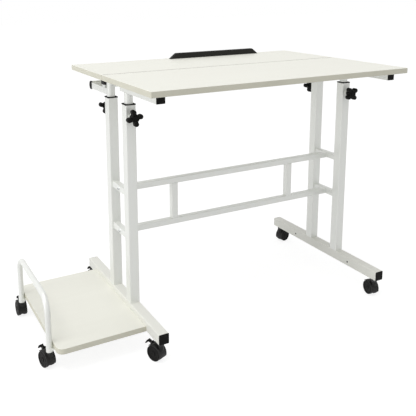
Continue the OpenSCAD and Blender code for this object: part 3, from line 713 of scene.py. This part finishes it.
@dataclass
class SmallMouldings:
    """Caps, collars, pads and clamps: the CAD solids with softened edges."""

    radius: float = 0.5 * MM
    cap_extra: float = 2.5 * MM
    cap_wider: float = 1.056
    cap_seat: float = 0.3 * MM
    # The sleeve's drop stands in partly for the riser's shade: painted shade
    boot_drop: float = 15.0 * MM
    boot_wall: float = 2.3 * MM
    boot_gap: float = 0.2 * MM
    boot_overlap: float = 2.0 * MM
    boot_corner: float = 2.0 * MM
    trims: tuple[Trim, ...] = (
        Trim("foot_end_caps", "foot_caps", "base"),
        Trim("column_collars", "leg_collars", "base"),
        Trim("rail_end_caps", "front_rail_caps", "front_tier"),
        Trim("post_top_caps", "rear_post_caps", "rear_tier"),
        Trim("board_rest_pads", "rest_pads", "rear_tier", Slot.PAD_RUBBER, PAD_RUBBER),
        Trim("cross_tube_caps", "tilt_tube_caps", "rear_tier"),
        Trim("clamp_saddles", "tilt_saddles", "tilting_board"),
        Trim("clamp_straps", "tilt_straps", "tilting_board"),
    )

    def build(self) -> None:
        """Makes every small moulding."""
        for trim in self.trims:
            bench = Bench(trim.name)
            bench.take_node(trim.node)
            if trim.node == "tilt_tube_caps":
                self.thicken(bench)
            if trim.node == "rest_pads":
                self.shade_sleeves(bench)
            bench.round_sharp(self.radius, 2)
            bench.dress(trim.body, (trim.finish,), (trim.node,))

    def thicken(self, bench: Bench) -> None:
        """Lets the cross tube's caps stand further out, a little wider than the tube."""
        low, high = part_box("tilt_tube")
        middle, reach = (low + high) / 2, (high - low) / 2
        for vert in bench.mesh.verts:
            off = vert.co - middle
            if Vector(off.yz).length > reach.y - self.cap_seat:
                vert.co.yz = middle.yz + off.yz * self.cap_wider
            if abs(off.x) > reach.x + self.cap_seat:
                vert.co.x += math.copysign(self.cap_extra, off.x)

    def shade_sleeves(self, bench: Bench) -> None:
        """Draws each rest pad down over its riser in a square sleeve; the sleeve's drop is partly painted shade
        for the riser's shaded side.
        """
        pads_low, pads_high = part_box("rest_pads")
        middle_y = (pads_low.y + pads_high.y) / 2
        for side in ("left", "right"):
            low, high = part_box(f"rear_arm_{side}")
            middle = Vector(((low.x + high.x) / 2, middle_y, pads_low.z))
            half = (high.x - low.x) / 2 + self.boot_gap + self.boot_wall
            verts = bench.block(
                middle - Vector((half, half, self.boot_drop)),
                middle + Vector((half, half, self.boot_overlap)),
            )
            bench.round_edges(
                bench.edges_of(verts, lambda e: rise(e) > self.boot_drop), self.boot_corner, 4
            )
            self.hollow(bench, middle - Vector((0.0, 0.0, self.boot_drop)))

    def hollow(self, bench: Bench, at: Vector) -> None:
        """Sinks a boot's mouth up to the pad.

        Args:
            bench: The mesh that the boot is in.
            at: The middle of its mouth.
        """
        mouth = min(
            (f for f in bench.mesh.faces if f.normal.z < -FACING),
            key=lambda f: (f.calc_center_median() - at).length,
        )
        bmesh.ops.inset_region(bench.mesh, faces=[mouth], thickness=self.boot_wall)
        raised = bmesh.ops.extrude_face_region(bench.mesh, geom=[mouth])["geom"]
        bmesh.ops.delete(bench.mesh, geom=[mouth], context="FACES_ONLY")
        roof = [g for g in raised if isinstance(g, bmesh.types.BMVert)]
        bmesh.ops.translate(bench.mesh, verts=roof, vec=(0.0, 0.0, self.boot_drop))


# Clamp knobs


@dataclass
class Knob:
    """A four-lobed grip with a recessed centre, a flared neck and a steel stud."""

    lobes: int = 4
    # Radii in mm, and the distance of a lobe's centre from the axis
    core_radius: float = 12.0
    lobe_at: float = 17.0
    lobe_radius: float = 7.0
    # Degrees from a lobe's middle: it is whole up to the first, and gone from the second
    lobe_until: float = 19.0
    core_from: float = 27.0
    # In mm, heights counted along the axis away from the leg
    grip_from: float = 17.0
    grip_height: float = 16.0
    neck_from: float = 6.8
    stud_radius: float = 4.0
    stud_reach: float = 2.7
    stud_chamfer: float = 0.8
    overlap: float = 0.2
    # The grip's foot as a share of its full width
    foot_scale: float = 0.86
    around: int = 120
    # Radius and height above the grip's face, from the middle outwards
    centre_ring: Profile = (
        (0.0, -0.6),
        (6.3, -0.6),
        (6.9, 0.9),
        (7.6, 1.5),
        (8.6, 1.2),
        (9.2, 0.3),
        (9.4, -2.0),
        (0.0, -2.0),
    )
    # Radius and height above the grip's foot, down to the neck's waist
    flare: Profile = ((0.0, 1.0), (11.5, 1.0), (9.6, -0.8), (8.0, -3.0))
    # Radius and height above the neck's end
    waist: Profile = ((7.4, 1.0), (7.0, 0.0), (0.0, 0.0))
    # The angle of a lobe on each knob, in degrees
    turns: dict[str, float] = field(
        default_factory=lambda: {
            "front_left": 12.0,
            "front_right": 38.0,
            "rear_left": 15.0,
            "rear_right": 0.0,
        }
    )

    def build(self) -> None:
        """Makes the four knobs."""
        for corner in self.turns:
            self.knob(corner)

    def place(self, corner: str) -> Matrix:
        """The matrix from the knob's own axis, in mm, to its place on the leg."""
        joint_name = f"knob_{corner}_turn"
        across = Vector((1.0, 0.0, 0.0))
        up = Vector(joint_named(joint_name)["axis"]).cross(across)
        return on_axis(joint_name, across, up)

    def star(self, vert: bmesh.types.BMVert, turn: float) -> float:
        """The star's radius in a vertex's direction: round lobes that run into a round core."""
        pitch = 360.0 / self.lobes
        angle = math.degrees(math.atan2(vert.co.y, vert.co.x)) - turn
        off = abs((angle + pitch / 2) % pitch - pitch / 2)
        side = self.lobe_at * math.sin(math.radians(off))
        rounding = math.sqrt(max(self.lobe_radius**2 - side**2, 0.0))
        lobe = self.lobe_at * math.cos(math.radians(off)) + rounding
        share = min(max((self.core_from - off) / (self.core_from - self.lobe_until), 0.0), 1.0)
        share = share * share * (3 - 2 * share)
        return self.core_radius + (lobe - self.core_radius) * share

    def knob(self, corner: str) -> None:
        """Makes one knob.

        Args:
            corner: The leg's corner, such as front_left.
        """
        bench = Bench(f"star_knob_{corner}")
        self.grip(bench, self.turns[corner])
        top = self.grip_from + self.grip_height
        bench.turned([(r, top + z) for r, z in self.centre_ring])
        flare = [(r, self.grip_from + z) for r, z in self.flare]
        waist = [(r, self.neck_from + z) for r, z in self.waist]
        bench.turned(flare + waist)
        stud = bench.turned(
            (
                (0.0, -self.stud_reach),
                (self.stud_radius - self.stud_chamfer, -self.stud_reach),
                (self.stud_radius, -self.stud_reach + self.stud_chamfer),
                (self.stud_radius, self.neck_from + self.overlap),
                (0.0, self.neck_from + self.overlap),
            ),
            32,
        )
        bench.move(self.place(corner))
        bench.dress(
            f"knob_{corner}",
            (BLACK_MOULDING, ZINC),
            (f"knob_{corner}",),
            lambda face: int(face in stud),
        )

    def grip(self, bench: Bench, turn: float) -> None:
        """Raises the lobed grip ring by ring from a circle.

        Args:
            bench: The mesh that it is made in.
            turn: The angle of a lobe, in degrees.
        """
        mesh = bench.mesh
        ring = bmesh.ops.create_circle(mesh, cap_ends=True, radius=1.0, segments=self.around)["verts"]
        for vert in ring:
            vert.co.xy = vert.co.xy * self.star(vert, turn)
        base = ring[0].link_faces[0]
        low, tall = self.grip_from, self.grip_height
        bmesh.ops.translate(mesh, verts=ring, vec=(0.0, 0.0, low))
        bmesh.ops.scale(mesh, verts=ring, vec=(self.foot_scale, self.foot_scale, 1.0))
        face = base
        height, scale = low, self.foot_scale
        rings = (
            (0.9, 0.955),
            (1.9, 1.0),
            (tall - 3.4, 1.0),
            (tall - 1.6, 0.975),
            (tall - 0.5, 0.92),
            (tall, 0.84),
        )
        for rise_to, wanted in rings:
            raised = bmesh.ops.extrude_face_region(mesh, geom=[face])["geom"]
            verts = [g for g in raised if isinstance(g, bmesh.types.BMVert)]
            face = next(g for g in raised if isinstance(g, bmesh.types.BMFace))
            bmesh.ops.translate(mesh, verts=verts, vec=(0.0, 0.0, low + rise_to - height))
            ratio = wanted / scale
            bmesh.ops.scale(mesh, verts=verts, vec=(ratio, ratio, 1.0))
            height, scale = low + rise_to, wanted


# Casters


@dataclass
class Caster:
    """A twin-wheel caster: moulded housing, two wheels on an axle and a pedal."""

    # The wheels in mm, on the axle's own line
    wheel_radius: float = 22.5
    gap: float = 7.0
    width: float = 11.0
    axle_radius: float = 3.0
    tread_from: float = 21.5
    # The radii of the softened edges
    housing_edge: float = 0.45 * MM
    pedal_edge: float = 0.5 * MM
    names: tuple[str, ...] = (
        "front_left",
        "rear_left",
        "front_right",
        "rear_right",
        "shelf_front",
        "shelf_rear",
    )

    def build(self) -> None:
        """Makes the six casters."""
        for name in self.names:
            self.housing(name)
            self.wheels(name)
            if f"brake_{name}" in FRAME["nodes"]:
                self.pedal(name)

    def axle(self, name: str) -> Matrix:
        """The matrix from the axle's own line, in mm, to its place."""
        joint_name = f"roll_{name}"
        up = Vector((0.0, 0.0, 1.0))
        ahead = up.cross(Vector(joint_named(joint_name)["axis"]))
        return on_axis(joint_name, ahead, up)

    def half_profile(self) -> list[tuple[float, float]]:
        """One wheel's profile, from the hub outwards and back to the axle."""
        inner = self.gap / 2
        outer = inner + self.width
        rim = self.wheel_radius
        return [
            # Hub cap
            (0.0, outer - 0.5),
            (3.6, outer - 0.5),
            (4.2, outer - 0.05),
            (6.0, outer),
            (6.7, outer - 0.5),
            # Sunken disc
            (7.0, outer - 1.2),
            (11.5, outer - 1.35),
            (16.6, outer - 1.0),
            # Raised rim, and the shoulder down to the tread
            (17.1, outer - 0.2),
            (17.9, outer),
            (20.2, outer - 0.1),
            (21.6, outer - 0.65),
            (rim - 0.25, outer - 1.5),
            # Tread
            (rim, outer - 2.6),
            (rim, inner + 2.2),
            (rim - 0.3, inner + 1.2),
            # Inner face, hollow between rim and hub
            (21.2, inner + 0.4),
            (20.2, inner + 0.05),
            (18.6, inner),
            (18.0, inner + 1.6),
            (9.0, inner + 1.8),
            (8.2, inner),
            (self.axle_radius + 0.6, inner),
            (self.axle_radius, inner - 0.2),
        ]

    def wheels(self, name: str) -> None:
        """Turns both wheels and their axle in one profile.

        Args:
            name: Which caster.
        """
        bench = Bench(f"twin_wheels_{name}")
        half = self.half_profile()
        profile = half + [(r, -z) for r, z in reversed(half)]
        place = self.axle(name)
        faces = bench.turned(profile, 72)
        tread = {f for f in faces if min(v.co.xy.length for v in f.verts) > self.tread_from}
        bench.move(place)
        bench.dress(
            f"wheels_{name}",
            (WHEEL_DISC, WHEEL_TREAD),
            (f"wheels_{name}",),
            lambda face: int(face in tread),
        )

    def housing(self, name: str) -> None:
        """Softens the housing's own solid.

        Args:
            name: Which caster.
        """
        bench = Bench(f"caster_housing_{name}")
        bench.take_node(f"housing_{name}")
        bench.round_sharp(self.housing_edge, 2)
        bench.dress(
            f"caster_{name}", (HOOD_MOULDING,), (f"housing_{name}",)
        )

    def pedal(self, name: str) -> None:
        """Softens the pedal's own solid.

        Args:
            name: Which caster.
        """
        bench = Bench(f"brake_pedal_{name}")
        bench.take_node(f"brake_{name}")
        bench.round_sharp(self.pedal_edge, 2)
        bench.dress(
            f"brake_{name}", (BLACK_MOULDING,), (f"brake_{name}",)
        )


# Steel


@dataclass
class Steel:
    """The CAD nodes that keep their shape and take a finish."""

    finishes: dict[Slot, Finish] = field(
        default_factory=lambda: {
            Slot.WHITE_STEEL: WHITE_STEEL,
            Slot.BOARD: BOARD_FACE,
            Slot.BLACK_PLASTIC: BLACK_MOULDING,
            Slot.WHEEL_PLASTIC: WHEEL_DISC,
            Slot.PAD_RUBBER: PAD_RUBBER,
            Slot.ZINC_STEEL: ZINC,
        }
    )
    own: dict[str, Finish] = field(
        default_factory=lambda: {
            "caster_stems": DARK_ZINC,
            "foot_left": FOOT_LEFT_SHADED_COAT,
            "foot_right": FOOT_RIGHT_SHADED_COAT,
        }
    )

    def build(self) -> None:
        """Gives every CAD node its own finish, or that of its material slot."""
        slots = {s["node"]: s["material_slot"] for s in FRAME["record"]["subparts"]}
        for node, piece in FRAME["nodes"].items():
            finish = self.own.get(node, self.finishes[Slot(slots[node])]).material()
            if not piece.material_slots:
                piece.data.materials.append(finish)
            for place in piece.material_slots:
                place.material = finish


# Studio and camera


@dataclass(frozen=True)
class Lamp:
    """A square soft lamp: its name, its place, the side of its square and its watts."""

    name: str
    at: Point
    size: float
    power: float


@dataclass
class Studio:
    """A pale floor, a white surround and soft plain light from the upper left."""

    ambient: float = 0.54
    floor_size: float = 30.0
    floor_albedo: float = 0.30
    floor_glow: float = 0.84
    bounce_albedo: float = 0.70
    aim: Point = (0.0, 0.0, 0.4)
    lamps: tuple[Lamp, ...] = (
        Lamp("overhead", (-1.9, -0.5, 6.2), 4.0, 168.0),
        Lamp("left_side", (-10.0, -0.2, 1.4), 4.0, 235.0),
    )

    def build(self) -> None:
        """Makes the world, the floor and the lamps."""
        self.world()
        self.floor()
        for lamp in self.lamps:
            self.hang(lamp)

    def seen_directly(self, recipe: Recipe) -> Signal:
        """1 on rays from the camera, from gloss or through glass, otherwise 0."""
        paths = recipe.tree.nodes.new("ShaderNodeLightPath")
        kinds = ("Is Camera Ray", "Is Glossy Ray", "Is Transmission Ray")
        first, second, third = (Signal(recipe, paths.outputs[k]) for k in kinds)
        return (first + second + third).clipped()

    def world(self) -> None:
        """Lights evenly from all round, and shows white to the camera."""
        world = bpy.data.worlds.new("surround")
        bpy.context.scene.world = world
        world.use_nodes = True
        recipe = Recipe(world.node_tree)
        glow = recipe.node("ShaderNodeBackground", {}, Color=(1.0, 1.0, 1.0), Strength=self.ambient)
        white = recipe.node("ShaderNodeBackground", {}, Color=(1.0, 1.0, 1.0), Strength=1.0)
        mix = recipe.node(
            "ShaderNodeMixShader", {}, in_0=self.seen_directly(recipe), in_1=glow, in_2=white
        )
        recipe.end("ShaderNodeOutputWorld", mix)

    def floor(self) -> None:
        """A large floor that looks white, keeps a soft shadow and bounces light."""
        sheet = bmesh.new()
        bmesh.ops.create_grid(sheet, x_segments=1, y_segments=1, size=self.floor_size / 2)
        data = bpy.data.meshes.new("floor")
        sheet.to_mesh(data)
        sheet.free()
        floor = bpy.data.objects.new("floor", data)
        bpy.context.scene.collection.objects.link(floor)
        paint = bpy.data.materials.new("floor_paint")
        paint.use_nodes = True
        recipe = Recipe(paint.node_tree)
        white = (1.0, 1.0, 1.0)
        shadow = recipe.node("ShaderNodeBsdfDiffuse", {}, Color=(self.floor_albedo,) * 3)
        glow = recipe.node("ShaderNodeEmission", {}, Color=white, Strength=self.floor_glow)
        seen = recipe.node("ShaderNodeAddShader", {}, in_0=shadow, in_1=glow)
        bounce = recipe.node("ShaderNodeBsdfDiffuse", {}, Color=(self.bounce_albedo,) * 3)
        mix = recipe.node(
            "ShaderNodeMixShader", {}, in_0=self.seen_directly(recipe), in_1=bounce, in_2=seen
        )
        recipe.end("ShaderNodeOutputMaterial", mix)
        data.materials.append(paint)

    def hang(self, lamp: Lamp) -> None:
        """Adds a lamp that faces the desk."""
        data = bpy.data.lights.new(lamp.name, "AREA")
        data.shape = "SQUARE"
        data.size = lamp.size
        data.energy = lamp.power
        light = bpy.data.objects.new(lamp.name, data)
        light.location = lamp.at
        ahead = Vector(self.aim) - Vector(lamp.at)
        light.rotation_euler = ahead.to_track_quat("-Z", "Y").to_euler()
        bpy.context.scene.collection.objects.link(light)


@dataclass
class Viewpoint:
    """The camera, fitted to the photograph's view of the desk."""

    # Metres and radians
    at: Point = (-0.9128, -1.6142, 0.9978)
    yaw: float = 0.4743
    pitch: float = -0.1987
    roll: float = -0.0088
    # Pixels of the photograph: focal length, point straight ahead, side of the square
    focal_px: float = 618.7
    centre_px: tuple[float, float] = (173.1, 110.0)
    frame_px: float = 416.0
    # The sensor's width in mm
    sensor: float = 36.0

    def build(self) -> None:
        """Makes the camera and makes it the scene's own."""
        data = bpy.data.cameras.new("camera")
        data.sensor_width = self.sensor
        data.lens = self.focal_px / self.frame_px * self.sensor
        data.shift_x = 0.5 - self.centre_px[0] / self.frame_px
        data.shift_y = self.centre_px[1] / self.frame_px - 0.5
        camera = bpy.data.objects.new("camera", data)
        ahead = Vector(
            (
                math.sin(self.yaw) * math.cos(self.pitch),
                math.cos(self.yaw) * math.cos(self.pitch),
                math.sin(self.pitch),
            )
        )
        level = Vector((math.cos(self.yaw), -math.sin(self.yaw), 0.0))
        upright = level.cross(ahead)
        right = level * math.cos(self.roll) + upright * math.sin(self.roll)
        up = upright * math.cos(self.roll) - level * math.sin(self.roll)
        turned = Matrix((right, up, -ahead)).transposed().to_4x4()
        camera.matrix_world = Matrix.Translation(self.at) @ turned
        bpy.context.scene.collection.objects.link(camera)
        bpy.context.scene.camera = camera


def main() -> None:
    """Builds the desk's pieces, the studio and the camera."""
    logging.basicConfig(level=logging.INFO, format="%(message)s")
    bpy.context.scene.view_settings.view_transform = "Standard"
    for shop in (Viewpoint(), Studio(), Steel(), Boards(), StopBar(), SmallMouldings(), Knob(), Caster()):
        LOG.info("building %s", type(shop).__name__)
        shop.build()


if __name__ == "__main__":
    main()
